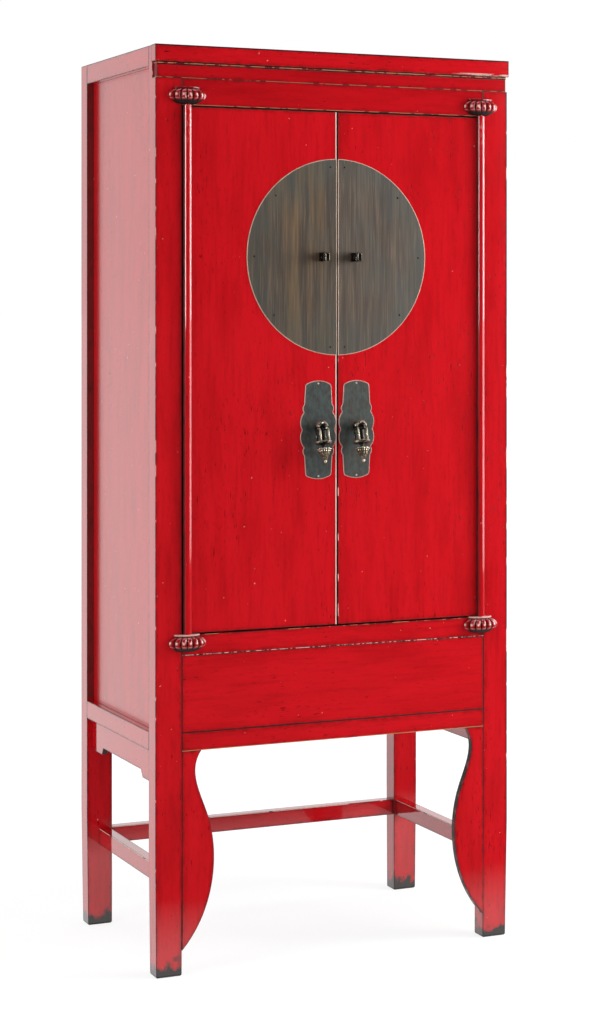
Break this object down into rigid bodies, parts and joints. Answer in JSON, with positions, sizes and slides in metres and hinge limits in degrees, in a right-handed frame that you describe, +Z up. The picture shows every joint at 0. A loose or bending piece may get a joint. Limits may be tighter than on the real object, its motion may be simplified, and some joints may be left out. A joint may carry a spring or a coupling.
{
  "type": "wedding cabinet",
  "caption": "Tall two-door cabinet on straight legs, with round and lobed brass plates, hanging pulls, carved pivot blocks and a compartment under the doors.",
  "frame": {"origin": "bottom centre of the whole box, on the floor, the lock lugs included", "axes": "+Z up, +X to the right of someone facing the doors, doors face -Y"},
  "size_m": [0.816, 0.524, 1.9],
  "materials": {
    "red_lacquer": "glossy red lacquer, rubbed through at the edges",
    "inside_wood": "dark stained, matt",
    "patina_plate": "dark brushed patina",
    "cast_brass": "worn cast brass",
    "brass_nails": "rubbed"
  },
  "bodies": {
    "cabinet": {"bottom_board": "inside_wood", "cleats": "inside_wood", "compartment_panel": "red_lacquer", "cornice_lower_band": "red_lacquer", "cornice_upper_band": "red_lacquer", "door_stop": "inside_wood", "front_bottom_rail": "red_lacquer", "front_top_rail": "red_lacquer", "left_apron": "red_lacquer", "left_bottom_rail": "red_lacquer", "left_bracket": "red_lacquer", "left_front_post": "red_lacquer", "left_lower_pivot_block": "red_lacquer", "left_rear_post": "red_lacquer", "left_side_panel": "red_lacquer", "left_stretcher": "red_lacquer", "left_top_rail": "red_lacquer", "left_upper_pivot_block": "red_lacquer", "lid_bearers": "inside_wood", "lower_back_panel": "inside_wood", "lower_shelf": "inside_wood", "rear_bottom_rail": "red_lacquer", "rear_sill_rail": "inside_wood", "rear_stretcher": "red_lacquer", "rear_top_rail": "red_lacquer", "right_apron": "red_lacquer", "right_bottom_rail": "red_lacquer", "right_bracket": "red_lacquer", "right_front_post": "red_lacquer", "right_lower_pivot_block": "red_lacquer", "right_rear_post": "red_lacquer", "right_side_panel": "red_lacquer", "right_stretcher": "red_lacquer", "right_top_rail": "red_lacquer", "right_upper_pivot_block": "red_lacquer", "sill_rail": "red_lacquer", "top_battens": "inside_wood", "top_panel": "red_lacquer", "upper_back_panel": "inside_wood", "upper_shelf": "inside_wood"},
    "left_door": {"left_door_leaf": "red_lacquer", "left_door_battens": "inside_wood", "left_pivot_rod": "red_lacquer", "left_moon_plate": "patina_plate", "left_lock_lug": "cast_brass", "left_pull_plate": "patina_plate", "left_pull_post": "cast_brass", "left_door_nails": "brass_nails"},
    "right_door": {"right_door_leaf": "red_lacquer", "right_door_battens": "inside_wood", "right_pivot_rod": "red_lacquer", "right_moon_plate": "patina_plate", "right_lock_lug": "cast_brass", "right_pull_plate": "patina_plate", "right_pull_post": "cast_brass", "right_door_nails": "brass_nails"},
    "left_pull": {"left_pull_drop": "cast_brass"},
    "right_pull": {"right_pull_drop": "cast_brass"},
    "left_board": {"left_floor_board": "inside_wood"},
    "right_board": {"right_floor_board": "inside_wood"}
  },
  "joints": [
    {"name": "left_door_hinge", "type": "hinge", "parent": "cabinet", "child": "left_door", "pos_m": [-0.3385, -0.221, 0.696], "axis": [0, 0, -1], "range_deg": [0, 170]},
    {"name": "right_door_hinge", "type": "hinge", "parent": "cabinet", "child": "right_door", "pos_m": [0.3385, -0.221, 0.696], "axis": [0, 0, 1], "range_deg": [0, 170]},
    {"name": "left_pull_swing", "type": "hinge", "parent": "left_door", "child": "left_pull", "pos_m": [-0.044, -0.23468, 1.1145], "axis": [-1, 0, 0], "range_deg": [0, 65]},
    {"name": "right_pull_swing", "type": "hinge", "parent": "right_door", "child": "right_pull", "pos_m": [0.044, -0.23468, 1.1145], "axis": [-1, 0, 0], "range_deg": [0, 65]},
    {"name": "left_board_lift", "type": "slide", "parent": "cabinet", "child": "left_board", "axis": [0, 0, 1], "range_m": [0, 0.3]},
    {"name": "right_board_lift", "type": "slide", "parent": "cabinet", "child": "right_board", "axis": [0, 0, 1], "range_m": [0, 0.3]}
  ]
}
